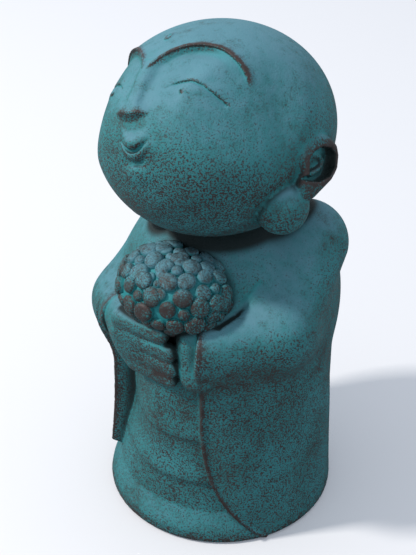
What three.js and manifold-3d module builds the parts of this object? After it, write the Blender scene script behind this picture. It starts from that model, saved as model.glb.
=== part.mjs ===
// Stone jizo statue: a small standing monk with a large upturned head, hands folded
// round a posy of blossoms, on a round foot.  One casting, so one closed solid.
// Millimetres, +Z up.  The figure faces -Y and its left hand is on +X; the origin is
// the middle of the flat underside.
import * as THREE from 'three';
import { mergeVertices } from 'three/addons/utils/BufferGeometryUtils.js';
import Module from 'manifold-3d';

// ---- driving dimensions -------------------------------------------------------
const FOOT_R = 96.5;             // round foot, just above the ground
const FOOT_EASE = 2;             // eased edge round the underside
const CUFF_RIGHT = 31;           // right cuff opening, degrees from the front
const SKIRT_R = 86;              // robe front above the flared hem
const SLEEVE_R = 90;             // hanging sleeves and the plain back
const SLEEVE_TOP = 215;          // height where the sleeve edges start, under the hands
const EDGE_LEFT = [20, 53];      // sleeve edge, degrees from the front: top, foot
const EDGE_RIGHT = [12, 52];
const EDGE_BEND = 2.4;           // how late the edge swings outwards on its way down
const RIDGE_H = 1.8, RIDGE_W = 3.2;      // rolled edge of the sleeves
const HEM_RIGHT_Z = 38;          // lower end of the right sleeve; the left one meets the foot
const LEAN = 3;                  // the trunk stands this far back over the foot
const FOLDS = [[131, 8], [70, 2], [18, -4]];  // swags of the robe: height, middle in degrees
const FOLD_DEPTH = 2.6;
const HEAD_C = [0, -8, 343.5];   // skull
const HEAD_R = [86.5, 96, 79.4];
const SKULL_TURN = [3, 10, 16];  // yaw, pitch up, roll in degrees
const FACE_TURN = [4.5, 26, 13];
const FACE_C = [0, -11, 344];
const BROW_R = 31, BROW_S = 27, BROW_U = 25, BROW_STEP = 4;  // brow arcs and the step under them
const BROW_SOFT = 4.5;           // the step is spread this far each way to suit the facets
const FACE_FLAT = 8;             // the temples lie this much inside the skull's round
const POSY_C = [-1, -64, 230], POSY_R = [43, 35, 30];
const LOBE_R = 17.5;             // long round ear lobes resting on the shoulders
const FINGER_R = 7.4;

// ---- small vector and blending tools ------------------------------------------
const V = (a) => new THREE.Vector3(...a);
const clamp = THREE.MathUtils.clamp;
const rad = THREE.MathUtils.degToRad;
const step = (a, b, x) => THREE.MathUtils.smoothstep(x, a, b);
const bump = (x, w) => { const t = clamp(Math.abs(x) / w, 0, 1); return (1 - t * t) ** 2; };
const blend = (a, b, k) => {
  const h = clamp(0.5 + 0.5 * (b - a) / k, 0, 1);
  return b + (a - b) * h - k * h * (1 - h);
};
const keep = (a, b, k) => -blend(-a, -b, k);
const along = (x, xs, ys) => {   // straight-line interpolation in a short table of sizes
  let i = 1;
  while (i < xs.length - 1 && x > xs[i]) i += 1;
  const t = clamp((x - xs[i - 1]) / (xs[i] - xs[i - 1]), 0, 1);
  return ys[i - 1] + (ys[i] - ys[i - 1]) * t;
};
// Axes of a turned head: side (the figure's left), forward and up, as a rotation matrix.
const turned = ([yaw, pitch, roll]) => {
  const side = V([1, 0, 0]), front = V([0, -1, 0]), up = V([0, 0, 1]);
  for (const v of [side, front, up]) v.applyAxisAngle(V([0, 0, 1]), rad(-yaw));
  for (const v of [front, up]) v.applyAxisAngle(side, rad(-pitch));
  for (const v of [side, up]) v.applyAxisAngle(front, rad(roll));
  return { side, front, up };
};
const skull = turned(SKULL_TURN), face = turned(FACE_TURN);
const inFrame = (p, c, f) => {
  const q = p.clone().sub(c);
  return V([q.dot(f.side), q.dot(f.front), q.dot(f.up)]);
};
const outFrame = (q, c, f) => c.clone().addScaledVector(f.side, q[0])
  .addScaledVector(f.front, q[1]).addScaledVector(f.up, q[2]);

// Distances to simple forms, negative inside.
const ovoid = (q, r) => {
  const k0 = Math.hypot(q.x / r[0], q.y / r[1], q.z / r[2]);
  const k1 = Math.hypot(q.x / r[0] ** 2, q.y / r[1] ** 2, q.z / r[2] ** 2);
  return k0 * (k0 - 1) / Math.max(k1, 1e-9);
};
const limb = (p, a, b, ra, rb) => {
  const ab = b.clone().sub(a), q = p.clone().sub(a);
  const h = clamp(q.dot(ab) / ab.lengthSq(), 0, 1);
  return q.addScaledVector(ab, -h).length() - (ra + (rb - ra) * h);
};

// ---- robe, trunk and arms -----------------------------------------------------
const edgeAngle = (z, [top, foot]) => {
  const t = clamp(1 - z / SLEEVE_TOP, 0, 1);
  return top + (foot - top) * t ** EDGE_BEND;
};
const robeRadius = (phi, z) => {
  let skirt = along(z, [0, 3, 10, 18, 28, 45, 110, 300],
    [FOOT_R - 2, FOOT_R, FOOT_R - 1.5, FOOT_R - 5, 87, 86.5, SKIRT_R, SKIRT_R]);
  for (const [zf, mid] of FOLDS) {
    const d = z - zf - 9 * ((phi - mid) / 25) ** 2;
    skirt += FOLD_DEPTH * Math.exp(-((d / (d > 0 ? 12 : 4)) ** 2)) * bump(phi - mid, 62);
  }
  const sleeve = along(z, [0, 3, 20, 60, 110, 300],
    [FOOT_R - 2, FOOT_R, FOOT_R - 1, 93, SLEEVE_R + 0.5, SLEEVE_R]);
  const left = phi - edgeAngle(z, EDGE_LEFT), right = -phi - edgeAngle(z, EDGE_RIGHT);
  const arc = rad(Math.max(left, right)) * 92;
  let m = step(-2.2, 2.2, arc);
  let ridge = RIDGE_H * bump(arc - 2, RIDGE_W);
  if (right > left) {            // the right sleeve ends above the foot and fades rearwards
    const hem = step(HEM_RIGHT_Z - 3, HEM_RIGHT_Z + 3, z);
    const fade = step(60, 140, -phi);
    m *= hem + (1 - hem) * fade;
    ridge *= hem;
  }
  return skirt + (sleeve - skirt) * m + (z < 225 ? ridge : 0);
};
const ARMS = [                   // shoulder, elbow, wrist and their radii
  [V([58, 31, 243]), V([74, -30, 200]), V([30, -76, 194]), 34, 26, 23],
  [V([-53, 30, 228]), V([-75, -31, 172]), V([-30, -80, 190]), 31, 25, 23],
];
const bodyField = (p) => {
  const y = p.y - LEAN * step(10, 90, p.z);
  const phi = THREE.MathUtils.radToDeg(Math.atan2(p.x, -y));
  let d = Math.hypot(p.x, y) - robeRadius(phi, p.z);
  d = keep(d, p.z - 200, 40);
  d = blend(d, ovoid(p.clone().sub(V([0, 16, 196])), [90, 82, 84]), 14);
  for (const [sh, el, wr, rs, re, rw] of ARMS) {    // forearms end at the sleeve openings
    const cuff = sh.x > 0 ? phi - edgeAngle(p.z, EDGE_LEFT) : -phi - CUFF_RIGHT;
    const fore = keep(limb(p, el, wr, re, rw), -rad(cuff) * SLEEVE_R, 3);
    const soft = 26 - 16 * step(185, 215, p.z);     // creased above the arm, hanging below it
    d = blend(d, blend(limb(p, sh, el, rs, re), fore, 10), soft);
  }
  return keep(d, -p.z, FOOT_EASE);
};

// ---- head and face ------------------------------------------------------------
// Height of the carving over the plain skull, s to the figure's left and u up the face.
const faceRelief = (s, u) => {
  let h = 0;
  for (const side of [-1, 1]) {
    h -= FACE_FLAT * bump(Math.hypot((s - side * 68) / 42, (u - 14) / 50), 1);
    const r = Math.hypot(s - side * BROW_S, u - BROW_U);
    const inside = 1 - step(BROW_R - BROW_SOFT, BROW_R + BROW_SOFT, r);
    h -= BROW_STEP * inside * step(-8, 36, u);
  }
  h += 3 * bump(Math.hypot(s / 18, (u + 19) / 13), 1);    // round the mouth
  h += 2.4 * bump(Math.hypot(s / 20, (u + 46) / 12), 1);  // chin
  return h;
};
const headField = (p) => {
  const q = inFrame(p, V(HEAD_C), skull), f = inFrame(p, V(FACE_C), face);
  return ovoid(q, HEAD_R) - (f.y > 0 ? faceRelief(f.x, f.z) * step(0, 30, f.y) : 0);
};

// Nose: narrow at the bridge, broad and cut flat underneath.
const noseField = (p) => {
  const q = inFrame(p, V(FACE_C), face);
  const ridge = limb(q, V([-2, 77, 40]), V([-3, 89, 8]), 5, 8.5);
  const wings = ovoid(V([q.x + 3, q.y - 83, q.z - 6]), [18, 13, 8.5]);
  return keep(blend(ridge, wings, 4), 1 - q.z, 1.5);
};

// ---- wrapping three.js shapes onto those fields -------------------------------
const settle = (field, from, dir, reach) => {     // outermost point of the form on a ray
  let t = reach;
  for (let i = 0; i < 160; i += 1) {
    const d = field(from.clone().addScaledVector(dir, t));
    if (Math.abs(d) < 0.01) break;
    t -= 0.6 * d;
  }
  return from.clone().addScaledVector(dir, t);
};
const reshape = (geometry, place) => {
  const pos = geometry.attributes.position;
  for (let i = 0; i < pos.count; i += 1) {
    const p = place(new THREE.Vector3().fromBufferAttribute(pos, i), i);
    pos.setXYZ(i, p.x, p.y, p.z);
  }
  return geometry;
};

const wasm = await Module();
wasm.setup();
const solid = (geometry) => {
  const g = geometry.clone();
  g.deleteAttribute('normal');
  g.deleteAttribute('uv');
  const m = mergeVertices(g, 1e-3);
  const tri = [];
  for (let i = 0; i < m.index.count; i += 3) {    // poles leave flat triangles; drop them
    const t = [m.index.getX(i), m.index.getX(i + 1), m.index.getX(i + 2)];
    if (new Set(t).size === 3) tri.push(...t);
  }
  return new wasm.Manifold(new wasm.Mesh({
    numProp: 3,
    vertProperties: new Float32Array(m.attributes.position.array),
    triVerts: new Uint32Array(tri),
  }));
};

// Body: a lathe of foot, wall and shoulders.  Its columns follow the sleeve edges, with
// extra ones at the rolled edge, and each point is then settled on the form.
const NOMINAL_EDGE = 30;
const columns = [];
const fan = (a, b, n) => { for (let i = 0; i < n; i += 1) columns.push(a + (b - a) * i / n); };
fan(-180, -90, 7); fan(-90, -34, 7); fan(-34, -27.5, 3); fan(-27.5, 27.5, 10);
fan(27.5, 34, 3); fan(34, 90, 8); fan(90, 180, 8);
const WALL_TOP = 178, WALL_ROWS = 20, DOME_ROWS = 14;
const outline = [[0, 0], [48, 0], [FOOT_R - 3, 0]];
for (let i = 0; i <= WALL_ROWS; i += 1) {
  outline.push([FOOT_R, 1.4 + (WALL_TOP - 1.4) * (i / WALL_ROWS) ** 1.12]);
}
for (let i = 1; i < DOME_ROWS; i += 1) {
  const a = (Math.PI / 2) * i / DOME_ROWS;
  outline.push([FOOT_R * Math.cos(a), WALL_TOP + FOOT_R * Math.sin(a)]);
}
outline.push([0, WALL_TOP + FOOT_R]);
const bodyLathe = new THREE.LatheGeometry(
  outline.map(([r, h]) => new THREE.Vector2(r, h)), columns.length);
bodyLathe.rotateX(Math.PI / 2);
const warp = (a, z) => {         // nominal column angle to true angle at height z
  const edge = edgeAngle(z, a > 0 ? EDGE_LEFT : EDGE_RIGHT), n = Math.abs(a);
  const w = n < NOMINAL_EDGE ? n * edge / NOMINAL_EDGE
    : edge + (n - NOMINAL_EDGE) * (180 - edge) / (180 - NOMINAL_EDGE);
  return Math.sign(a) * w;
};
reshape(bodyLathe, (p, i) => {
  const col = Math.floor(i / outline.length), [r, z] = outline[i % outline.length];
  if (r === 0) return V([0, 0, z === 0 ? 0 : settle(bodyField, V([0, 0, WALL_TOP]), V([0, 0, 1]), 130).z]);
  const phi = rad(warp(columns[col % columns.length], Math.min(z, WALL_TOP)));
  const out = V([Math.sin(phi), -Math.cos(phi), 0]);
  if (z === 0) return out.multiplyScalar(r);
  if (z <= WALL_TOP) return settle(bodyField, V([0, 0, z]), out, 135);
  const a = Math.asin((z - WALL_TOP) / FOOT_R);
  const dir = out.multiplyScalar(Math.cos(a)).add(V([0, 0, Math.sin(a)]));
  return settle(bodyField, V([0, 0, WALL_TOP]), dir, 150);
});

// Head: a sphere whose pole points out of the nose, so the face gets the small facets.
const HEAD_AROUND = 42, HEAD_ROWS = 24, FACE_SHARE = 1.4;
const headBall = new THREE.SphereGeometry(1, HEAD_AROUND, HEAD_ROWS);
const pole = outFrame([-1, 90, 14], new THREE.Vector3(), face).normalize();
const poleTurn = new THREE.Quaternion().setFromUnitVectors(V([0, 1, 0]), pole);
reshape(headBall, (p) => {
  const polar = Math.acos(clamp(p.y, -1, 1)), around = Math.atan2(p.z, p.x);
  const a = Math.PI * (polar / Math.PI) ** FACE_SHARE;
  const dir = V([Math.sin(a) * Math.cos(around), Math.cos(a), Math.sin(a) * Math.sin(around)]);
  return settle(headField, V(HEAD_C), dir.applyQuaternion(poleTurn), 125);
});

// A roll: a round bar along a curve.
const roll = (points, r, steps) => {
  const section = new THREE.Shape(arc(4, (t) => new THREE.Vector2(
    r * Math.cos(Math.PI * 1.6 * t), r * Math.sin(Math.PI * 1.6 * t))));
  const extrudePath = new THREE.CatmullRomCurve3(points);
  return new THREE.ExtrudeGeometry(section, { steps, bevelEnabled: false, extrudePath });
};
const arc = (n, f) => Array.from({ length: n + 1 }, (_, i) => f(i / n));
const onFace = (s, u, sink) => {  // a point of the carved face, sunk in
  const from = outFrame([s, 0, u], V(FACE_C), face);
  return settle(headField, from, face.front, 130).addScaledVector(face.front, -sink);
};

// Brows and lips are rolls laid on the face; the closed lids are too fine for this solid.
const carving = [];
for (const side of [-1, 1]) {
  carving.push(roll(arc(10, (t) => {
    const a = rad(148 - 122 * t), r = BROW_R + 0.5;
    return onFace(side * (BROW_S + r * Math.cos(a)), BROW_U + r * Math.sin(a), 1 + 3 * (2 * t - 1) ** 8);
  }), 2.2, 14));
}
carving.push(roll(arc(4, (t) => onFace(-15 + 25 * t, -14 - 4 * Math.sin(Math.PI * t), 1.2 + 3 * (2 * t - 1) ** 4)), 3, 7));
carving.push(roll(arc(4, (t) => onFace(-11 + 19 * t, -19 - 5 * Math.sin(Math.PI * t), 1 + 3 * (2 * t - 1) ** 4)), 3, 7));

// Ears: a rolled rim and a fold on a shallow shell, and a ball of a lobe below each.
const EAR_RIM = [[13, -9], [9, 2], [-3, 7], [-16, 2], [-22, -10], [-19, -25], [-9, -40]];
const EAR_FOLD = [[-11, -2], [-9, -13], [-9, -24], [-5, -32]];
const earParts = [];
for (const side of [-1, 1]) {
  const onEar = ([f, u], i) => outFrame([side * (88 - 0.25 * i * i), f, u], V(FACE_C), face);
  earParts.push(roll(EAR_RIM.map(onEar), 4.4, 12), roll(EAR_FOLD.map(onEar), 2.8, 6));
  const centre = outFrame([side * 80, -6, -15], V(FACE_C), face);
  // side, front, up is a left-handed set, so x is mirrored to keep the faces outward
  earParts.push(reshape(new THREE.SphereGeometry(1, 12, 8), (p) =>
    outFrame([-p.x * 9.5, p.y * 19, p.z * 24], centre, face)));
  const at = outFrame([side * 65, 0, -53], V(FACE_C), face);
  earParts.push(new THREE.SphereGeometry(LOBE_R, 14, 9).translate(at.x, at.y, at.z));
}
const noseHeart = outFrame([-2, 80, 12], V(FACE_C), face);
const nose = reshape(new THREE.SphereGeometry(1, 14, 9), (p) =>
  settle(noseField, noseHeart, p.normalize(), 45));

// Posy: a dome of blossoms, each a ring of five rounded petals round a button.
const blossoms = [                // bearing from the front and height angle, degrees
  [38, 50], [36, 4], [84, 18], [-6, 26], [-50, 38], [-36, -2], [115, 55], [-110, 60], [-88, 10],
];
const onPosy = (bearing, height) => V([
  Math.sin(rad(bearing)) * Math.cos(rad(height)),
  -Math.cos(rad(bearing)) * Math.cos(rad(height)),
  Math.sin(rad(height)),
]);
const posy = [reshape(new THREE.SphereGeometry(1, 16, 10), (p) =>
  p.multiply(V(POSY_R)).add(V(POSY_C)))];
// A blossom is turned as a lathe: button, groove, crown of the petals, rim and a sunk base.
// Every third column is a notch between two petals.
const BLOSSOM = [[0, -5], [15, -2], [12.5, 3], [7, 3], [4.8, 1.6], [0, 4.6]];
for (const [i, [b, e]] of blossoms.entries()) {
  const n = onPosy(b, e), c = V(POSY_C).add(n.clone().multiply(V(POSY_R)));
  const turn = new THREE.Quaternion().setFromUnitVectors(V([0, 1, 0]), n)
    .multiply(new THREE.Quaternion().setFromAxisAngle(V([0, 1, 0]), rad(23 * i)));
  const head = new THREE.LatheGeometry(BLOSSOM.map(([r, h]) => new THREE.Vector2(r, h)), 15);
  posy.push(reshape(head, (p, k) => {
    const column = Math.floor(k / BLOSSOM.length) % 15, row = k % BLOSSOM.length;
    if (column % 3 === 0 && row >= 1 && row <= 3) {
      const pinch = row === 3 ? 0.95 : 0.82;
      p.set(p.x * pinch, p.y - 2.2, p.z * pinch);
    }
    return p.applyQuaternion(turn).add(c);
  }));
}

// Hands: four fingers of the right hand lie level across the left one.
const limbs = [];
const rod = (a, b, r, segments = 8) => {
  const axis = b.clone().sub(a), g = new THREE.CapsuleGeometry(r, axis.length(), 2, segments, 1);
  g.applyQuaternion(new THREE.Quaternion().setFromUnitVectors(V([0, 1, 0]), axis.normalize()));
  const mid = a.clone().add(b).multiplyScalar(0.5);
  return g.translate(mid.x, mid.y, mid.z);
};
const TIPS = [[6, -96, 210], [12, -95, 196], [14, -94, 182], [13, -93, 168]];
const KNUCKLES = [[-36, -85, 208], [-37, -86, 196], [-36, -86, 184], [-30, -87, 172]];
TIPS.forEach((tip, i) => limbs.push(rod(V(KNUCKLES[i]), V(tip), FINGER_R)));
limbs.push(rod(V([-42, -72, 192]), V([18, -76, 186]), 20, 12));      // right palm and wrist
limbs.push(rod(V([29, -79, 177]), V([28, -75, 200]), 17, 12));       // left hand behind

let whole = solid(bodyLathe);
for (const g of [headBall, nose, ...carving, ...earParts, ...posy, ...limbs]) whole = whole.add(solid(g));
const out = whole.getMesh();
const statueShape = new THREE.BufferGeometry();
statueShape.setAttribute('position', new THREE.BufferAttribute(out.vertProperties, 3));
statueShape.setIndex(new THREE.BufferAttribute(out.triVerts, 1));
statueShape.computeVertexNormals();

const stone = new THREE.MeshStandardMaterial({
  name: 'patinated cast stone', color: '#4f8790', roughness: 0.78, metalness: 0,
});
const statue = new THREE.Mesh(statueShape, stone);
statue.name = 'statue';
const group = new THREE.Group();
group.name = 'jizo_statue';
group.add(statue);
export default group;
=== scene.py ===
import math

import bpy
import numpy as np
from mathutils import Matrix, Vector


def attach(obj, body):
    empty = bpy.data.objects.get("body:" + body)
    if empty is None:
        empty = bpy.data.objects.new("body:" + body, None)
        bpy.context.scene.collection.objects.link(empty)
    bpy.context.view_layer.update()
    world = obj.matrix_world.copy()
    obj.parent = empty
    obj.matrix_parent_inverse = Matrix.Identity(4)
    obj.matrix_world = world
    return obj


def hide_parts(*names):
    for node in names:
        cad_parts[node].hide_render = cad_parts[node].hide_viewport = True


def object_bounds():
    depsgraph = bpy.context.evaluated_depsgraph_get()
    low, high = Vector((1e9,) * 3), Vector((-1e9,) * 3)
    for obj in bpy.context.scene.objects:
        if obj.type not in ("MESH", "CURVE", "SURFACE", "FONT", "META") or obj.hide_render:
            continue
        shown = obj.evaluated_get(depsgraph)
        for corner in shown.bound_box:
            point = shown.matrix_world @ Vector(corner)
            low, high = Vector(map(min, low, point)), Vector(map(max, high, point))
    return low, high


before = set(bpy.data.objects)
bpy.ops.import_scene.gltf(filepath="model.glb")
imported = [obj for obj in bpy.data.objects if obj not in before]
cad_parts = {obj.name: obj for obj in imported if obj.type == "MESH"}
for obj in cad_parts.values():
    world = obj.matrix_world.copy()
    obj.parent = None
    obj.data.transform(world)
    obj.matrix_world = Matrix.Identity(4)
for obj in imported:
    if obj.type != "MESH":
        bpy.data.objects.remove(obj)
cad_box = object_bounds()

# ---- Camera -------------------------------------------------------------------
# A portrait lens a metre away, a third of the way round to the statue's left and
# looking down on it from well above.
shot_round, shot_up, shot_away = math.radians(34), math.radians(34.5), 1.057
shot_aim = Vector((-0.0091, -0.0062, 0.204))
back = Vector((math.sin(shot_round) * math.cos(shot_up),
               -math.cos(shot_round) * math.cos(shot_up), math.sin(shot_up)))
lens = bpy.data.cameras.new("portrait_lens")
lens.lens, lens.sensor_width, lens.sensor_fit = 85, 36, "AUTO"
camera = bpy.data.objects.new("camera", lens)
camera.location = shot_aim + back * shot_away
camera.rotation_euler = (-back).to_track_quat("-Z", "Y").to_euler()
bpy.context.scene.collection.objects.link(camera)
bpy.context.scene.camera = camera


# ---- Robe, trunk and sleeves --------------------------------------------------
# The body of the cast stone figure: a long plain robe on a round foot, with a skirt that
# falls in shallow swags and hanging sleeves whose rolled edges frame it.  It was modelled
# in clay and cast in one piece, so every form runs softly into the next.
# All forms below are distances in millimetres, negative inside the stone.
FOOT_R = 96.5                    # round foot, just above the ground
SKIRT_R = 86                     # robe front above the flared hem
SLEEVE_R = 90                    # hanging sleeves and the plain back
EDGE_LEFT = (21.5, 56.5)         # sleeve edges, degrees from the front: top, foot
EDGE_RIGHT = (46, 52)
EDGE_TURN, EDGE_BEND = 130, 2.7  # an edge swings outwards below this height, and how late
MOUTH_DEEP = 12                  # the skirt lies this far back inside the right sleeve's mouth
ROLL_H, ROLL_W = 1.8, 3.2        # rolled sleeve edge
HEM_RIGHT_Z = 38                 # the right sleeve ends here, the left one meets the foot
SWAGS = ((104, 8, 2.4), (60, 4, 2.6), (12, 0, 1.6))     # folds: height, middle angle, depth


def soft_min(a, b, k):           # joins two forms with a fillet about k wide
    h = np.clip(0.5 + 0.5 * (b - a) / k, 0, 1)
    return b + (a - b) * h - k * h * (1 - h)


def soft_max(a, b, k):
    return -soft_min(-a, -b, k)


def step(a, b, x):
    t = np.clip((x - a) / (b - a), 0, 1)
    return t * t * (3 - 2 * t)


def bump(x, w):
    t = np.clip(np.abs(x) / w, 0, 1)
    return (1 - t * t) ** 2


def ovoid(p, centre, radii):
    q = (p - np.array(centre, float)) / np.array(radii, float)
    k0 = np.sqrt((q ** 2).sum(-1))
    k1 = np.sqrt(((q / np.array(radii, float)) ** 2).sum(-1))
    return k0 * (k0 - 1) / np.maximum(k1, 1e-9)


def limb(p, a, b, ra, rb):       # a rounded bar that tapers from a to b
    a, b = np.array(a, float), np.array(b, float)
    q, ab = p - a, b - a
    h = np.clip(q @ ab / (ab @ ab), 0, 1)
    return np.sqrt(((q - h[..., None] * ab) ** 2).sum(-1)) - (ra + (rb - ra) * h)


def edge_angle(z, edge):
    return edge[0] + (edge[1] - edge[0]) * np.clip(1 - z / EDGE_TURN, 0, 1) ** EDGE_BEND


def robe_radius(phi, z):
    skirt = np.interp(z, [0, 3, 10, 18, 28, 45, 110, 300],
                      [FOOT_R - 2, FOOT_R, FOOT_R - 1.5, FOOT_R - 5, 87, 86.5, SKIRT_R, SKIRT_R])
    skirt = skirt - MOUTH_DEEP * step(28, 105, z) * bump(phi + 46, 46)
    for height, middle, deep in SWAGS:
        d = z - height - 1.2 * ((phi - middle) / 25) ** 2
        fall = np.exp(-(d / np.where(d > 0, 14, 5)) ** 2)
        skirt = skirt + deep * fall * bump(phi - middle, 70)
    sleeve = np.interp(z, [0, 3, 20, 60, 110, 300],
                       [FOOT_R - 2, FOOT_R, FOOT_R - 1, 93, SLEEVE_R + 0.5, SLEEVE_R])
    left, right = phi - edge_angle(z, EDGE_LEFT), -phi - edge_angle(z, EDGE_RIGHT)
    arc = np.radians(np.maximum(left, right)) * 92
    m, roll = step(-2.2, 2.2, arc), ROLL_H * bump(arc - 2, ROLL_W)
    hem = step(HEM_RIGHT_Z - 3, HEM_RIGHT_Z + 3, z)
    on_right = right > left
    m = np.where(on_right, m * (hem + (1 - hem) * step(60, 140, -phi)), m)
    roll = np.where(on_right, roll * hem, roll)
    return skirt + (sleeve - skirt) * m + np.where(z < 225, roll, 0)


ARMS = (                         # shoulder, elbow, wrist, their radii, cuff angle
    ((58, 31, 243), (74, -30, 200), (30, -76, 194), 34, 26, 23),
    ((-53, 30, 228), (-75, -31, 172), (-30, -80, 190), 31, 25, 23),
)
CUFF_RIGHT = 38
ELBOW_CREASE = ((43, -72, 218), (49, -55, 222), (53, -43, 230), (56, -33, 239))


def cord_form(p, points, radii):
    d = np.full(p.shape[:-1], 1e9)
    for a, b, ra, rb in zip(points[:-1], points[1:], radii[:-1], radii[1:]):
        d = np.minimum(d, limb(p, a, b, ra, rb))
    return d


def body_form(p):
    z = p[..., 2]
    y = p[..., 1] - 3 * step(10, 90, z)
    phi = np.degrees(np.arctan2(p[..., 0], -y))
    d = np.hypot(p[..., 0], y) - robe_radius(phi, z)
    d = soft_max(d, z - 200, 40)
    d = soft_min(d, ovoid(p, (0, 16, 196), (90, 82, 84)), 14)
    for shoulder, elbow, wrist, rs, re, rw in ARMS:
        cuff = phi - edge_angle(z, EDGE_LEFT) if shoulder[0] > 0 else -phi - CUFF_RIGHT
        fore = soft_max(limb(p, elbow, wrist, re, rw), -np.radians(cuff) * SLEEVE_R, 3)
        soft = 26 - 16 * step(185, 215, z)      # hangs from the arm, creased above it
        d = soft_min(d, soft_min(limb(p, shoulder, elbow, rs, re), fore, 10), soft)
    crease = cord_form(p, ELBOW_CREASE, (2.5, 2.5, 1.6, 0.5))
    return soft_max(soft_max(d, -crease, 3), -z, 2)


# ---- Head and face ------------------------------------------------------------
# A big smooth head thrown back and leaning to its right, with a doll's face cut into it:
# high round brows, closed smiling lids, a small square nose and a small mouth.
HEAD_AT, HEAD_R = np.array((0, -8, 343.5)), (86.5, 96, 79.4)
FACE_AT = np.array((0, -11, 344))
BROW_R, BROW_S, BROW_U = 33.5, 32, 20    # brow arcs: radius, and centre beside the middle line
BROW_MID, NOSE_S = -5, -5                # the carver's middle lines of the brows and the nose
BROW_STEP = 4.4                          # the sockets are cut this far back under the brows
TEMPLE_FLAT = 8
MOUTH_S, MOUTH_U, MOUTH_W = -2.4, -14, 12      # middle, height of the corners, half width


def turned(yaw, pitch, roll):    # rows: the head's own left, forward and up
    y, p, r = np.radians([-yaw, -pitch, roll])

    def about(v, k, a):
        return v * np.cos(a) + np.cross(k, v) * np.sin(a) + k * (k @ v) * (1 - np.cos(a))
    z = np.array((0, 0, 1.0))
    side, front, up = (about(np.array(v, float), z, y) for v in ((1, 0, 0), (0, -1, 0), z))
    front, up = about(front, side, p), about(up, side, p)
    side, up = about(side, front, r), about(up, front, r)
    return np.stack([side, front, up])


SKULL, FACE = turned(3, 10, 16), turned(6.5, 26, 18.5)


def line_gap(s, u, points):      # distance on the face to a drawn line
    best = np.full(np.shape(s), 1e9)
    for (s0, u0), (s1, u1) in zip(points[:-1], points[1:]):
        ds, du = s1 - s0, u1 - u0
        t = np.clip(((s - s0) * ds + (u - u0) * du) / (ds * ds + du * du), 0, 1)
        best = np.minimum(best, np.hypot(s - s0 - ds * t, u - u0 - du * t))
    return best


def drawn(f, n=12):
    return [f(i / n) for i in range(n + 1)]


LID = drawn(lambda t: (21 + 36 * t, 22.6 - 11.8 * t + 9.3 * math.sin(math.pi * t)))
CHIN_CREASE = drawn(lambda t: (-13 + 15 * t, -28.5 - 2.8 * math.sin(math.pi * t)))


def face_relief(s, u):           # height of the carving over the plain skull
    h = 3 * bump(np.hypot(s / 18, (u + 19) / 13), 1) + 2.2 * bump(np.hypot((s + 5) / 17, (u + 38) / 9), 1)
    for side in (-1, 1):
        h = h - TEMPLE_FLAT * bump(np.hypot((s - side * 68) / 42, (u - 13 + 6 * side) / 50), 1)
        t = side * (s - BROW_MID)               # outwards from between the brows
        r = np.hypot(t - BROW_S, u - BROW_U)
        bearing = np.degrees(np.arctan2(u - BROW_U, t - BROW_S))            # 0 outwards, 90 up
        deep = 0.25 + 0.75 * step(30, 100, np.abs(bearing))
        open_end = step(4, 32, u) * step(2, 26, np.abs(bearing)) * step(-1, 3, t)
        h = h - BROW_STEP * deep * (1 - step(BROW_R - 6, BROW_R + 1, r)) * open_end
        h = h + 1.4 * bump(r - BROW_R - 1.2, 2.4) * open_end
        lid = line_gap(t, u, LID)
        h = h - 1.6 * np.exp(-(lid / 1.0) ** 2) * (0.35 + 0.65 * step(21, 27, t))
    # the mouth: an overhanging upper lip, a slit, and a lower lip with a crease beneath
    across = np.clip((s - MOUTH_S) / MOUTH_W, -1.4, 1.4)
    q = u - (MOUTH_U - 7 * (1 - np.minimum(across ** 2, 1)))
    w = bump(across, 1.25)
    h = h + w * (3.4 * step(-0.3, 2.6, q) * (1 - step(5, 13, q)) - 2.2 * bump(q + 0.6, 2.2)
                 + 2.0 * bump(q + 4.6, 3.6) - 0.9 * bump(q + 9, 2.5))
    h = h - 0.9 * np.exp(-(line_gap(s, u, CHIN_CREASE) / 1.8) ** 2)
    ring = np.hypot(s + 4.4, u - 62)                # small curl in the middle of the forehead
    return h + 0.9 * bump(ring - 2.2, 1.5)


def head_form(p):
    q, f = (p - HEAD_AT) @ SKULL.T, (p - FACE_AT) @ FACE.T
    d = ovoid(q, (0, 0, 0), HEAD_R)
    s, u = f[..., 0], f[..., 2]
    d = d - np.where(f[..., 1] > 0, face_relief(s, u) * step(0, 30, f[..., 1]), 0)
    return d


def nose_form(p):                # narrow flat bridge, broad tip sliced off underneath
    f = (p - FACE_AT) @ FACE.T
    s, forward, u = f[..., 0] - NOSE_S, f[..., 1], f[..., 2]
    half = np.interp(u, [3, 8, 12, 20, 28, 36], [8.5, 5.5, 3.8, 3.3, 3.2, 3.4])
    top = np.interp(u, [0, 4, 9, 14, 20, 28, 34, 42], [97.5, 96.5, 94.5, 91.8, 88.3, 84.3, 80.5, 73])
    flank = (np.abs(s) - half - 0.9 * (top - forward)) * 0.74
    nose = soft_max(soft_max(flank, forward - top, 1.6), 60 - forward, 3)
    nose = soft_max(nose, u - 44, 3)
    for side in (-1, 1):
        wing = ovoid(np.stack([s, forward, u], -1), (side * 7.6, 84.5, 4.6), (7.6, 7.2, 6.6))
        nose = soft_min(nose, wing, 3.5)
    prow = 96 - 7.5 * (s / 15) ** 2             # the tip's lower edge bows back to the wings
    return soft_max(nose, 0.74 * (forward - prow) - 0.67 * (u - 3.8), 0.8)


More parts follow.
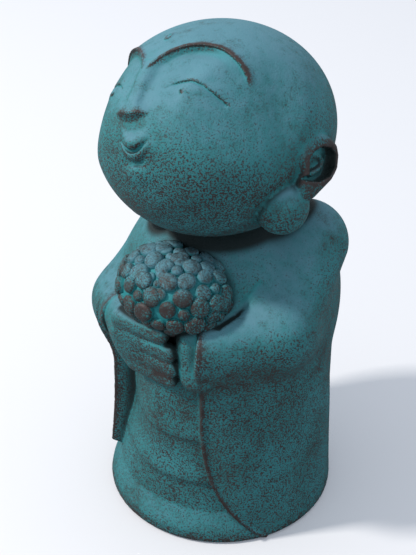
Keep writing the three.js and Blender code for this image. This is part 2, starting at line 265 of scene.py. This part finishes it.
# ---- Ears ---------------------------------------------------------------------
# Large ears with a rolled rim and long ball-like lobes that rest on the shoulders.
EAR_EDGE = ((1, -15), (-3, -11), (-8, -9), (-16, -10), (-22, -14), (-24, -19), (-23, -26), (-18, -33),
            (-11, -40), (-5, -46), (2, -47), (2, -39), (1, -32), (3, -27), (6, -22), (5, -17))
EAR_ROUND = 5
EAR_BOWL = ((3, -29), (3, -22), (-2, -16.5), (-10, -13), (-19, -13.5), (-24, -18), (-24.5, -26), (-19, -33.5),
            (-9, -38), (3, -38), (8, -36.5), (2, -33.5))
EAR_FOLD = ((-3, -19), (-12, -19.6), (-17, -22.5), (-15, -27), (-9, -30.5), (-2, -32.5))
LOBES, LOBE_R = ((62, 2, -55.5), (-65, -8, -47)), (20, 20.5, 21)


def outline_gap(x, y, points):   # distance to a closed outline, negative inside it
    best = line_gap(x, y, points + points[:1])
    inside = np.zeros(np.shape(x), bool)
    for (x0, y0), (x1, y1) in zip(points, points[1:] + points[:1]):
        inside ^= ((y0 > y) != (y1 > y)) & (x < (x1 - x0) * (y - y0) / (y1 - y0 + 1e-9) + x0)
    return np.where(inside, -best, best)


def lobe_form(p):
    f = (p - FACE_AT) @ FACE.T
    return np.minimum(*[ovoid(f, at, LOBE_R) for at in LOBES])


def ears_form(p):
    f = (p - FACE_AT) @ FACE.T
    s, y, u = np.abs(f[..., 0]), f[..., 1], f[..., 2]
    edge, bowl = outline_gap(y, u, EAR_EDGE) - EAR_ROUND, outline_gap(y, u, EAR_BOWL)
    crown = 86.5 - 0.2 * np.clip(y, -24, 12) - 0.25 * np.maximum(-u - 36, 0)
    ear = soft_max(edge, s - crown, 5)
    ear = soft_max(ear, 66 - s, 3)
    ear = soft_max(ear, -soft_max(bowl, 80.5 - s, 2.5), 1.2)
    fold = np.hypot(line_gap(y, u, EAR_FOLD), (s - 81.5) * 0.8) - 2.3
    return soft_min(ear, fold, 1.5)


# ---- Hands --------------------------------------------------------------------
# The right hand lies level across the left one, four blunt fingers one above the other.
KNUCKLES = ((-38, -84, 200), (-38, -84, 186), (-35, -83, 172), (-27, -81, 160))
TIPS = ((5, -92, 206.5), (11, -91, 190.5), (12, -90, 175.5), (9, -88, 162))
FINGER_GAPS = (((-31, -97, 191), (8, -101, 198)), ((-29, -96, 176), (13, -99, 184)),
               ((-22, -93, 160), (14, -96, 169.5)))


def hands_form(p):
    d = ovoid(p, (-24, -74, 180), (30, 17, 33))
    d = soft_min(d, limb(p, (-46, -64, 187), (-26, -76, 184), 19, 18), 8)
    for knuckle, tip in zip(KNUCKLES, TIPS):
        d = soft_min(d, limb(p, knuckle, tip, 8.2, 7.8), 4)
    x, y, z = p[..., 0], p[..., 1], p[..., 2]
    d = soft_max(d, -y - 98 - 0.07 * x + 0.16 * (206 - z), 4)       # flattened in front
    for a, b in FINGER_GAPS:
        d = soft_max(d, -limb(p, a, b, 1.8, 2.8), 1.2)
    return soft_min(d, limb(p, (30, -76, 170), (27, -75, 200), 16, 16), 2)


# ---- Posy ---------------------------------------------------------------------
# A tight dome of five-petalled blossoms held in front of the chest.  The petals are thick
# rounded pads pressed into the dome round a small button.
POSY_AT, POSY_R = (-1, -64, 230), (43, 35, 30)
BLOSSOMS = (                     # bearing from the front, height angle, turn, in degrees; size
    (38, 64, -19, 1.12), (40, 6, 56, 1.22), (88, 30, 40, 1.1), (-53, 52, 10, 1.2), (-12, 18, 8, 1.2),
    (-70, 6, 0, 1.1), (-122, 56, 30, 1.1), (120, 66, 0, 1.05), (-116, 10, 30, 1.0), (150, 20, 0, 1.1),
    (88, -16, 20, 1.1), (10, -36, 15, 1.0), (-40, -30, 0, 1.0), (-8, 84, 0, 0.9), (6, 42, 20, 0.8),
)


def posy_form(p):
    return ovoid(p, POSY_AT, POSY_R)


def blossom_seats():             # place and outward direction of each blossom, in metres
    seats = []
    for bearing, height, turn, size in BLOSSOMS:
        b, e = math.radians(bearing), math.radians(height)
        u = np.array((math.sin(b) * math.cos(e), -math.cos(b) * math.cos(e), math.sin(e)))
        out = u / np.array(POSY_R)
        seats.append((u * np.array(POSY_R) + np.array(POSY_AT), out / np.linalg.norm(out), turn, size))
    return seats


def add(tree, kind, settings=None, **links):     # one node, its settings, and what feeds it
    node = tree.nodes.new(kind)
    for name, value in (settings or {}).items():
        if isinstance(name, int):
            node.inputs[name].default_value = value
        elif name in node.inputs and not hasattr(node, name):
            node.inputs[name].default_value = value
        else:
            setattr(node, name, value)
    for name, source in links.items():
        key = int(name[1:]) if name[0] == "i" and name[1:].isdigit() else name.replace("_", " ")
        socket = source.outputs[0] if hasattr(source, "outputs") else source
        tree.links.new(socket, node.inputs[key])
    return node


posy_tree = bpy.data.node_groups.new("blossoms", "GeometryNodeTree")
for label, kind, value in (("Geometry", "NodeSocketGeometry", None), ("Petals", "NodeSocketInt", 5),
                           ("Ring radius", "NodeSocketFloat", 0.0100), ("Petal length", "NodeSocketFloat", 0.0058),
                           ("Petal width", "NodeSocketFloat", 0.0064), ("Petal thickness", "NodeSocketFloat", 0.0040),
                           ("Button radius", "NodeSocketFloat", 0.0042), ("Droop", "NodeSocketFloat", 0.26),
                           ("Seed", "NodeSocketInt", 7)):
    socket = posy_tree.interface.new_socket(label, in_out="INPUT", socket_type=kind)
    if value is not None:
        socket.default_value = value
posy_tree.interface.new_socket("Geometry", in_out="OUTPUT", socket_type="NodeSocketGeometry")
sizes = add(posy_tree, "NodeGroupInput")


def size_of(name):
    return sizes.outputs[name]


# one petal: a ball pulled out to a flat-topped pad
ball = add(posy_tree, "GeometryNodeMeshUVSphere", {"Segments": 20, "Rings": 12, "Radius": 1.0})
place = add(posy_tree, "GeometryNodeInputPosition")
apart = add(posy_tree, "ShaderNodeSeparateXYZ", i0=place)
flat = add(posy_tree, "ShaderNodeCombineXYZ", X=apart.outputs[0], Y=apart.outputs[1])
reach = add(posy_tree, "ShaderNodeVectorMath", {"operation": "LENGTH"}, i0=flat)
wide = add(posy_tree, "ShaderNodeMath", {"operation": "POWER", 1: -0.4},
           i0=add(posy_tree, "ShaderNodeMath", {"operation": "MAXIMUM", 1: 0.05}, i0=reach.outputs["Value"]))
pad = add(posy_tree, "ShaderNodeVectorMath", {"operation": "SCALE"}, i0=flat, Scale=wide)
across = add(posy_tree, "ShaderNodeCombineXYZ", X=size_of("Petal length"), Y=size_of("Petal width"))
broad = add(posy_tree, "ShaderNodeVectorMath", {"operation": "MULTIPLY"}, i0=pad, i1=across)
blunt = add(posy_tree, "ShaderNodeMath", {"operation": "POWER", 1: 0.65},
            i0=add(posy_tree, "ShaderNodeMath", {"operation": "ABSOLUTE"}, i0=apart.outputs[2]))
lift = add(posy_tree, "ShaderNodeMath", {"operation": "MULTIPLY"}, i0=blunt,
           i1=add(posy_tree, "ShaderNodeMath", {"operation": "SIGN"}, i0=apart.outputs[2]))
rise = add(posy_tree, "ShaderNodeCombineXYZ",
           Z=add(posy_tree, "ShaderNodeMath", {"operation": "MULTIPLY"}, i0=lift,
                 i1=size_of("Petal thickness")))
petal = add(posy_tree, "GeometryNodeSetPosition", Geometry=ball.outputs["Mesh"],
            Position=add(posy_tree, "ShaderNodeVectorMath", {"operation": "ADD"}, i0=broad, i1=rise))
# a ring of petals, each turned outwards and drooping with the dome
ring = add(posy_tree, "GeometryNodeMeshCircle", Vertices=size_of("Petals"), Radius=size_of("Ring radius"))
ring_at = add(posy_tree, "ShaderNodeSeparateXYZ", i0=add(posy_tree, "GeometryNodeInputPosition"))
bearing_of = add(posy_tree, "ShaderNodeMath", {"operation": "ARCTAN2"}, i0=ring_at.outputs[1], i1=ring_at.outputs[0])
turn_of = add(posy_tree, "ShaderNodeCombineXYZ", Y=size_of("Droop"), Z=bearing_of)
spread = add(posy_tree, "FunctionNodeRandomValue", {"data_type": "FLOAT", 2: 0.9, 3: 1.1}, Seed=size_of("Seed"))
petals = add(posy_tree, "GeometryNodeInstanceOnPoints", Points=ring, Instance=petal,
             Rotation=add(posy_tree, "FunctionNodeEulerToRotation", i0=turn_of), Scale=spread.outputs[1])
sunk = add(posy_tree, "GeometryNodeTransform", {"Translation": (0, 0, -0.0012)}, Geometry=petals)
button = add(posy_tree, "GeometryNodeMeshUVSphere", {"Segments": 14, "Rings": 9}, Radius=size_of("Button radius"))
head = add(posy_tree, "GeometryNodeJoinGeometry")
posy_tree.links.new(sunk.outputs[0], head.inputs[0])
posy_tree.links.new(button.outputs["Mesh"], head.inputs[0])
# the blossoms on their seats
facing = add(posy_tree, "GeometryNodeInputNamedAttribute", {"data_type": "FLOAT_VECTOR", "Name": "facing"})
spin = add(posy_tree, "GeometryNodeInputNamedAttribute", {"data_type": "FLOAT", "Name": "spin"})
size = add(posy_tree, "GeometryNodeInputNamedAttribute", {"data_type": "FLOAT", "Name": "size"})
upright = add(posy_tree, "FunctionNodeAlignRotationToVector", {"axis": "Z"}, Vector=facing.outputs[0])
twist = add(posy_tree, "FunctionNodeRotateRotation", {"rotation_space": "LOCAL"}, i0=upright,
            i1=add(posy_tree, "FunctionNodeEulerToRotation",
                   i0=add(posy_tree, "ShaderNodeCombineXYZ", Z=spin.outputs[0])))
seated = add(posy_tree, "GeometryNodeInstanceOnPoints", Points=size_of("Geometry"), Instance=head,
             Rotation=twist, Scale=size.outputs[0])
real = add(posy_tree, "GeometryNodeRealizeInstances", Geometry=seated)
patina = bpy.data.materials.new("verdigris_on_cast_stone")
finish = add(posy_tree, "GeometryNodeSetMaterial", {"Material": patina}, Geometry=real)
out = add(posy_tree, "NodeGroupOutput", Geometry=finish)

seats = blossom_seats()
seat_mesh = bpy.data.meshes.new("blossom_seats")
seat_mesh.from_pydata([tuple(at / 1000) for at, _, _, _ in seats], [], [])
for name, kind, field, values in (
        ("facing", "FLOAT_VECTOR", "vector", np.concatenate([way for _, way, _, _ in seats])),
        ("spin", "FLOAT", "value", np.radians([turn for _, _, turn, _ in seats])),
        ("size", "FLOAT", "value", np.array([size for _, _, _, size in seats]))):
    seat_mesh.attributes.new(name, kind, "POINT").data.foreach_set(field, values.astype(np.float32))
seat_object = bpy.data.objects.new("blossom_seats", seat_mesh)
bpy.context.scene.collection.objects.link(seat_object)
grow = seat_object.modifiers.new("blossoms", "NODES")
grow.node_group = posy_tree
grown = bpy.data.meshes.new_from_object(seat_object.evaluated_get(bpy.context.evaluated_depsgraph_get()))
bpy.data.objects.remove(seat_object)
petal_points = np.empty(len(grown.vertices) * 3, np.float32)
grown.vertices.foreach_get("co", petal_points)
petal_points = petal_points.reshape(-1, 3).astype(float) * 1000
grown.calc_loop_triangles()
petal_faces = np.empty(len(grown.loop_triangles) * 3, np.int32)
grown.loop_triangles.foreach_get("vertices", petal_faces)
petal_faces = petal_faces.reshape(-1, 3)


low, high = (np.array(corner) * 1000 for corner in cad_box)
BOX_MID, BOX_HALF = (low + high) / 2, (high - low) / 2 - 0.15       # the casting keeps inside this


def statue_form(p):
    bound = np.max(np.where(p > BOX_MID, p - BOX_MID, (BOX_MID - p) * (1, 1, 0.5)) - BOX_HALF, axis=-1)
    d = soft_min(head_form(p), nose_form(p), 1.6)
    d = soft_min(d, ears_form(p), 2)
    d = soft_min(d, lobe_form(p), 1.5)
    d = soft_min(d, body_form(p), 2)
    d = soft_min(d, hands_form(p), 1.6)
    return soft_max(soft_min(d, posy_form(p), 1.5), bound, 2)


# The statue is skinned from its form: a net of cells under 3 mm wide, then finer
# triangles where the carving is finer.
CELL = 2.7
LOW = np.array((-112.0, -115.0, -6.6))
COUNT = np.array((84, 81, 162))
COARSE = 3


def sampled():
    n = COUNT // COARSE + 2
    axes = [LOW[i] + CELL * COARSE * np.arange(n[i]) for i in range(3)]
    rough = statue_form(np.stack(np.meshgrid(*axes, indexing="ij"), -1))
    full = rough.repeat(COARSE, 0).repeat(COARSE, 1).repeat(COARSE, 2)
    near = np.abs(full) < CELL * COARSE * 2.2
    at = np.argwhere(near)
    full[near] = np.concatenate([statue_form(LOW + CELL * part) for part in np.array_split(at, 12)])
    return full


def skinned(field):
    inside = field < 0
    n = np.array(field.shape)
    corners = [(i, j, k) for i in (0, 1) for j in (0, 1) for k in (0, 1)]
    count = sum(inside[tuple(slice(o[i], n[i] - 1 + o[i]) for i in range(3))].astype(np.int8)
                for o in corners)
    active = (count > 0) & (count < 8)
    cells = np.argwhere(active)
    index = -np.ones(active.shape, int)
    index[active] = np.arange(len(cells))
    total, hits = np.zeros((len(cells), 3)), np.zeros(len(cells))
    for a in corners:
        for axis in range(3):
            if a[axis]:
                continue
            b = list(a)
            b[axis] = 1
            va, vb = field[tuple((cells + a).T)], field[tuple((cells + b).T)]
            cut = (va < 0) != (vb < 0)
            t = np.where(cut, va / (va - vb + 1e-30), 0)
            p = cells + np.array(a, float)
            p[:, axis] += t
            total[cut] += p[cut]
            hits[cut] += 1
    quads = []
    for axis in range(3):
        u, v = ((1, 2), (2, 0), (0, 1))[axis]
        near = [slice(1, n[i] - 1) for i in range(3)]
        near[axis] = slice(0, n[axis] - 1)
        far = list(near)
        far[axis] = slice(1, n[axis])
        a, b = inside[tuple(near)], inside[tuple(far)]
        e = np.argwhere(a != b)
        leaving = a[tuple(e.T)]
        offset = [1, 1, 1]
        offset[axis] = 0
        e = e + np.array(offset)
        du, dv = np.eye(3, dtype=int)[u], np.eye(3, dtype=int)[v]
        q = np.stack([index[tuple((e - du - dv).T)], index[tuple((e - dv).T)],
                      index[tuple(e.T)], index[tuple((e - du).T)]], 1)
        q[~leaving] = q[~leaving][:, ::-1]
        quads.append(q)
    q = np.concatenate(quads)
    v = LOW + CELL * total / hits[:, None]
    short = np.linalg.norm(v[q[:, 0]] - v[q[:, 2]], axis=1) < np.linalg.norm(v[q[:, 1]] - v[q[:, 3]], axis=1)
    tri = np.where(short[:, None], q[:, [0, 1, 2, 0, 2, 3]], q[:, [0, 1, 3, 1, 2, 3]])
    return v, tri.reshape(-1, 3)


def slope(p, form, h=0.15):
    g = np.stack([form(p + np.eye(3)[i] * h) - form(p - np.eye(3)[i] * h) for i in range(3)], -1)
    return g / (2 * h)


def settled(p, form, rounds):    # moves points onto the surface
    for _ in range(rounds):
        d, g = form(p), slope(p, form)
        shift = d / np.maximum((g ** 2).sum(-1), 0.2)
        p = p - np.clip(shift, -1.5, 1.5)[:, None] * g
    return p


def evened(v, tri, form, rounds):        # slides points along the surface to even the net
    edge = np.unique(np.sort(np.concatenate([tri[:, [0, 1]], tri[:, [1, 2]], tri[:, [2, 0]]]), 1), axis=0)
    degree = np.bincount(edge.ravel(), minlength=len(v))
    for _ in range(rounds):
        mean = np.stack([np.bincount(edge[:, 0], v[edge[:, 1], i], len(v))
                         + np.bincount(edge[:, 1], v[edge[:, 0], i], len(v)) for i in range(3)], -1)
        move = mean / degree[:, None] - v
        n = slope(v, form)
        n /= np.maximum(np.linalg.norm(n, axis=1), 1e-6)[:, None]
        move -= (move * n).sum(1)[:, None] * n
        v = settled(v + 0.6 * move, form, 1)
    return v


def wanted(p):                   # longest edge allowed at a point
    f = (p - FACE_AT) @ FACE.T
    s, u = f[:, 0], f[:, 2]
    size = np.full(len(p), 9.0)
    carved = np.full(len(p), 99.0)
    for side in (-1, 1):
        t = side * (s - BROW_MID)
        brow = np.abs(np.hypot(t - BROW_S, u - BROW_U) - BROW_R)
        carved = np.minimum(carved, np.where((u > 10) & (t > -4), brow, 99))
        carved = np.minimum(carved, line_gap(t, u, LID) + 1.5)
    carved = np.minimum(carved, np.hypot((s - MOUTH_S) / 1.6, u + 20) - 5)
    carved = np.minimum(carved, np.hypot((s - NOSE_S) / 1.6, u - 4) - 8)
    carved = np.minimum(carved, np.hypot(s - NOSE_S, (u - 24) / 3) - 5)
    carved = np.minimum(carved, np.hypot(s + 4.4, u - 62) - 1)
    size = np.where((carved < 4.5) & (f[:, 1] > 30), 1.15, size)
    size = np.where(hands_form(p) < 3, 1.6, size)
    size = np.where(ears_form(p) < 3, 1.5, size)
    # the edges of the sleeves
    phi = np.degrees(np.arctan2(p[:, 0], -p[:, 1]))
    edge = np.minimum(np.abs(phi - edge_angle(p[:, 2], EDGE_LEFT)), np.abs(phi + edge_angle(p[:, 2], EDGE_RIGHT)))
    return np.where((edge < 4) & (p[:, 2] < 215), np.minimum(size, 1.8), size)


def refined(v, tri, form):
    edge_of = np.sort(np.stack([tri[:, [0, 1]], tri[:, [1, 2]], tri[:, [2, 0]]], 1), -1)
    edge, back_to = np.unique(edge_of.reshape(-1, 2), axis=0, return_inverse=True)
    back_to = back_to.reshape(-1, 3)
    mid = v[edge].mean(1)
    split = np.linalg.norm(v[edge[:, 0]] - v[edge[:, 1]], axis=1) > 1.3 * wanted(mid)
    fresh = -np.ones(len(edge), int)
    fresh[split] = len(v) + np.arange(split.sum())
    v = np.concatenate([v, settled(mid[split], form, 2)])
    m = fresh[back_to]           # new point on each side of each triangle, or -1
    cut = m >= 0
    number = cut.sum(1)
    out = [tri[number == 0]]
    for first in range(3):       # turn each triangle so that its pattern starts at a known side
        a, b, c = (tri[:, (first + k) % 3] for k in range(3))
        ab, bc, ca = (m[:, (first + k) % 3] for k in range(3))
        one = (number == 1) & (ab >= 0)
        out += [np.stack(t, 1)[one] for t in ((a, ab, c), (ab, b, c))]
        two = (number == 2) & (ca < 0)
        out += [np.stack(t, 1)[two] for t in ((ab, b, bc), (a, ab, bc), (a, bc, c))]
    a, b, c = tri.T
    ab, bc, ca = m.T
    three = number == 3
    out += [np.stack(t, 1)[three] for t in ((a, ab, ca), (ab, b, bc), (ca, bc, c), (ab, bc, ca))]
    return v, np.concatenate(out)


points, faces = skinned(sampled())
points = evened(settled(points, statue_form, 2), faces, statue_form, 2)
for _ in range(2):
    points, faces = refined(points, faces, statue_form)
points = evened(points, faces, statue_form, 1)
points[:, 2] = np.maximum(points[:, 2], 0)


def mesh_of(name, v, tri):
    mesh = bpy.data.meshes.new(name)
    mesh.vertices.add(len(v))
    mesh.vertices.foreach_set("co", (v / 1000).astype(np.float32).ravel())
    mesh.loops.add(tri.size)
    mesh.loops.foreach_set("vertex_index", tri.ravel().astype(np.int32))
    mesh.polygons.add(len(tri))
    mesh.polygons.foreach_set("loop_start", np.arange(0, tri.size, 3, dtype=np.int32))
    mesh.update(calc_edges=True)
    mesh.validate()
    mesh.shade_smooth()
    return mesh


# Where the paint lies depends on the shape: rubbed off ridges and kept in hollows.  A third mask, deep, is painted
# shade that darkens the sheltered places far under the jaw and between parts.  Each is read off the form, at the
# points of the skin.
outward = slope(points, statue_form)
outward /= np.maximum(np.linalg.norm(outward, axis=1), 1e-6)[:, None]


def beside(reach):               # how far short of its reach the way out, or in, falls
    return 1 - (statue_form(points + outward * reach) - statue_form(points)) / reach


worn = np.clip(0.9 * np.clip(beside(-2.5), 0, 1) + 0.4 * np.clip(beside(-8), 0, 1), 0, 1)
kept = np.clip(0.9 * np.clip(beside(2.5), 0, 1) + 0.4 * np.clip(beside(8), 0, 1), 0, 1)
# painted shade mask: how sheltered each point is 14 to 28 mm out, to darken where shade falls under the jaw and
# between parts
deep = np.clip((beside(14) + 0.7 * beside(28)) / 1.5, 0, 1)
dome = np.abs(posy_form(points)) < 1.2
kept[dome] = 1
# the petals: paint stays between them and wears off their crowns
proud = posy_form(petal_points)
petal_out = slope(petal_points, posy_form)
petal_out /= np.linalg.norm(petal_out, axis=1)[:, None]
worn = np.concatenate([worn, step(1.2, 3.6, proud) * 0.3])
kept = np.concatenate([kept, 1 - step(0.3, 2.6, proud)])
deep = np.concatenate([deep, np.zeros(len(petal_points))])
outward = np.concatenate([outward, petal_out])
faces = np.concatenate([faces, petal_faces + len(points)])
points = np.concatenate([points, petal_points])
statue = bpy.data.objects.new("cast_stone_figure", mesh_of("cast_stone_figure", points, faces))
bpy.context.scene.collection.objects.link(statue)
for name, values in (("worn", worn), ("kept", kept), ("deep", deep), ("upward", outward[:, 2])):
    statue.data.attributes.new(name, "FLOAT", "POINT").data.foreach_set("value", values.astype(np.float32))
print("figure triangles", len(faces))

# ---- Patina -------------------------------------------------------------------
# Cast stone, coated dark brown and then dabbed and rubbed with verdigris paint.  The paint
# is smoother and lighter on the up-facing tops, where the hand reaches, and breaks into a darker stipple on the
# flanks and under surfaces, partly the finish and partly painted light and shade; it stays bright in the hollows and
# is rubbed off the ridges.


def linear(code):
    c = [int(code[i:i + 2], 16) / 255 for i in (1, 3, 5)]
    return tuple(x / 12.92 if x <= 0.04045 else ((x + 0.055) / 1.055) ** 2.4 for x in c) + (1,)


patina.use_nodes = True
tree = patina.node_tree
shader = tree.nodes["Principled BSDF"]
where = add(tree, "ShaderNodeTexCoord").outputs["Object"]
worn_at, kept_at, sheltered_shade_at, up_at = (
    add(tree, "ShaderNodeAttribute", {"attribute_name": name}).outputs["Fac"]
    for name in ("worn", "kept", "deep", "upward"))
# stipple of the dabbing brush 1.3 mm, its strokes 8 mm, and drifts of more and less paint 45 mm
grain = add(tree, "ShaderNodeTexNoise", {"Scale": 1 / 0.0013, "Detail": 3.0, "Roughness": 0.6}, Vector=where)
stroke = add(tree, "ShaderNodeTexNoise", {"Scale": 1 / 0.008, "Detail": 3.0, "Roughness": 0.6}, Vector=where)
drift = add(tree, "ShaderNodeTexNoise", {"Scale": 1 / 0.045, "Detail": 2.0, "Roughness": 0.5}, Vector=where)
# broken paint: strong on flanks and under surfaces, faint on the up-facing tops; the darker undersides are partly
# painted shade
broken = add(tree, "ShaderNodeMath", {"operation": "MULTIPLY_ADD", 1: 1.6, 2: -0.75}, i0=stroke)
broken = add(tree, "ShaderNodeMath", {"operation": "MULTIPLY_ADD", 1: 1.3}, i0=drift, i2=broken)
broken = add(tree, "ShaderNodeMath", {"operation": "MULTIPLY_ADD", 1: -0.8}, i0=up_at, i2=broken)
broken = add(tree, "ShaderNodeMapRange", {"interpolation_type": "SMOOTHSTEP", 1: 0.0, 2: 1.0,
                                          3: 0.2, 4: 1.0}, i0=broken)
speck = add(tree, "ShaderNodeMath", {"operation": "MULTIPLY_ADD", 1: 5.4, 2: -2.75}, i0=grain)
speck = add(tree, "ShaderNodeMath", {"operation": "MULTIPLY"}, i0=speck, i1=broken)
# how much paint is left at a point, a little more on the up-facing tops as painted light
left = add(tree, "ShaderNodeMath", {"operation": "MULTIPLY_ADD", 1: 0.9, 2: -0.22}, i0=stroke)
left = add(tree, "ShaderNodeMath", {"operation": "MULTIPLY_ADD", 1: 0.7}, i0=drift, i2=left)
left = add(tree, "ShaderNodeMath", {"operation": "MULTIPLY_ADD", 1: 1.1}, i0=kept_at, i2=left)
left = add(tree, "ShaderNodeMath", {"operation": "MULTIPLY_ADD", 1: -1.05}, i0=worn_at, i2=left)
left = add(tree, "ShaderNodeMath", {"operation": "MULTIPLY_ADD", 1: 0.25}, i0=up_at, i2=left)
left = add(tree, "ShaderNodeMath", {"operation": "ADD"}, i0=speck, i1=left)
cover = add(tree, "ShaderNodeMapRange", {"interpolation_type": "SMOOTHSTEP", 1: 0.15, 2: 0.75}, i0=left)
# the paint: teal, greyer and bluer on the up-facing tops (rubbed paint with a painted highlight), fresher in the
# hollows
clouds = add(tree, "ShaderNodeMapRange", {1: 0.35, 2: 0.65}, i0=drift)
teal = add(tree, "ShaderNodeMix", {"data_type": "RGBA", 6: linear("#236b6f"), 7: linear("#30767c")}, i0=clouds)
rubbed_and_highlight = add(tree, "ShaderNodeMath", {"operation": "MULTIPLY_ADD", 1: 0.8, 2: -0.45}, i0=stroke)
rubbed_and_highlight = add(tree, "ShaderNodeMath", {"operation": "ADD"}, i0=up_at, i1=rubbed_and_highlight)
rubbed_and_highlight = add(tree, "ShaderNodeMapRange", {"interpolation_type": "SMOOTHSTEP", 1: 0.25, 2: 1.0, 3: 0.0, 4: 0.7},
             i0=rubbed_and_highlight)
teal = add(tree, "ShaderNodeMix", {"data_type": "RGBA", 7: linear("#577f90")}, i0=rubbed_and_highlight, i6=teal.outputs[2])
fresh = add(tree, "ShaderNodeMapRange", {1: 0.15, 2: 0.8, 3: 0.0, 4: 0.7}, i0=kept_at)
teal = add(tree, "ShaderNodeMix", {"data_type": "RGBA", 7: linear("#218288")}, i0=fresh, i6=teal.outputs[2])
# the coat under it: near-black brown, redder where it is handled
brown = add(tree, "ShaderNodeMix", {"data_type": "RGBA", 6: linear("#1e1c1c"), 7: linear("#40302e")}, i0=stroke)
colour = add(tree, "ShaderNodeMix", {"data_type": "RGBA"}, i0=cover, i6=brown.outputs[2], i7=teal.outputs[2])
# painted shade: the deep sheltered places, under the jaw and between parts, go near-black where shade falls
painted_shade_under = add(tree, "ShaderNodeMapRange", {"interpolation_type": "SMOOTHSTEP", 1: 0.22, 2: 0.8, 3: 0.0, 4: 0.96},
             i0=sheltered_shade_at)
colour = add(tree, "ShaderNodeMix", {"data_type": "RGBA", 7: linear("#0d1919")}, i0=painted_shade_under, i6=colour.outputs[2])
tree.links.new(colour.outputs[2], shader.inputs["Base Color"])
gloss = add(tree, "ShaderNodeMapRange", {3: 0.5, 4: 0.75}, i0=cover)
tree.links.new(gloss.outputs[0], shader.inputs["Roughness"])
shader.inputs["Specular IOR Level"].default_value = 0.35
# the stipple and the strokes stand a little proud
height = add(tree, "ShaderNodeMath", {"operation": "MULTIPLY_ADD", 1: 0.5}, i0=cover, i2=grain)
height = add(tree, "ShaderNodeMath", {"operation": "ADD"}, i0=height, i1=stroke)
dabs = add(tree, "ShaderNodeBump", {"Strength": 0.6, "Distance": 0.0006}, Height=height)
tree.links.new(dabs.outputs[0], shader.inputs["Normal"])
statue.data.materials.append(patina)
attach(statue, "root")
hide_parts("statue")

# ---- Floor and light ----------------------------------------------------------
# A plain near-white table under a large soft lamp on the statue's right, in a pale room.
side_m = 3.0
floor_mesh = bpy.data.meshes.new("table_top")
floor_mesh.from_pydata([(-side_m, -side_m, 0), (side_m, -side_m, 0), (side_m, side_m, 0),
                        (-side_m, side_m, 0)], [], [(0, 1, 2, 3)])
floor = bpy.data.objects.new("table_top", floor_mesh)
bpy.context.scene.collection.objects.link(floor)
paper = bpy.data.materials.new("white_backdrop_paper")
paper.use_nodes = True
glowing_paper = paper.node_tree.nodes["Principled BSDF"]
glowing_paper.inputs["Base Color"].default_value = linear("#d0d0d2")
glowing_paper.inputs["Roughness"].default_value = 0.9
glowing_paper.inputs["Emission Color"].default_value = linear("#c9d6ee")     # a faint glow over the whole table top: painted light that lifts the statue's cast shadow
glowing_paper.inputs["Emission Strength"].default_value = 0.12
glowing_paper.inputs["Specular IOR Level"].default_value = 0.0
# the camera sees the glowing white paper; light bounced off the table sees a greyer floor
dull = add(paper.node_tree, "ShaderNodeBsdfDiffuse", {"Color": linear("#8a9296")})
table = add(paper.node_tree, "ShaderNodeMixShader", i0=add(paper.node_tree, "ShaderNodeLightPath"), i1=dull, i2=glowing_paper)
paper.node_tree.links.new(table.outputs[0], paper.node_tree.nodes["Material Output"].inputs[0])
floor_mesh.materials.append(paper)

world = bpy.data.worlds.new("pale_room")
world.use_nodes = True
world.node_tree.nodes["Background"].inputs["Color"].default_value = linear("#e2e9f2")
world.node_tree.nodes["Background"].inputs["Strength"].default_value = 1.0
bpy.context.scene.world = world
bpy.context.scene.view_settings.view_transform = "Standard"

key = bpy.data.lights.new("softbox", "AREA")
key.shape, key.size, key.size_y, key.energy = "RECTANGLE", 0.3, 0.3, 98
key.color = linear("#fffaf4")[:3]
softbox = bpy.data.objects.new("softbox", key)
lamp_round, lamp_up = math.radians(-47), math.radians(47)
away = Vector((math.sin(lamp_round) * math.cos(lamp_up),
               -math.cos(lamp_round) * math.cos(lamp_up), math.sin(lamp_up)))
softbox.location = Vector((0, 0, 0.2)) + away * 3.2
softbox.rotation_euler = (-away).to_track_quat("-Z", "Y").to_euler()
bpy.context.scene.collection.objects.link(softbox)
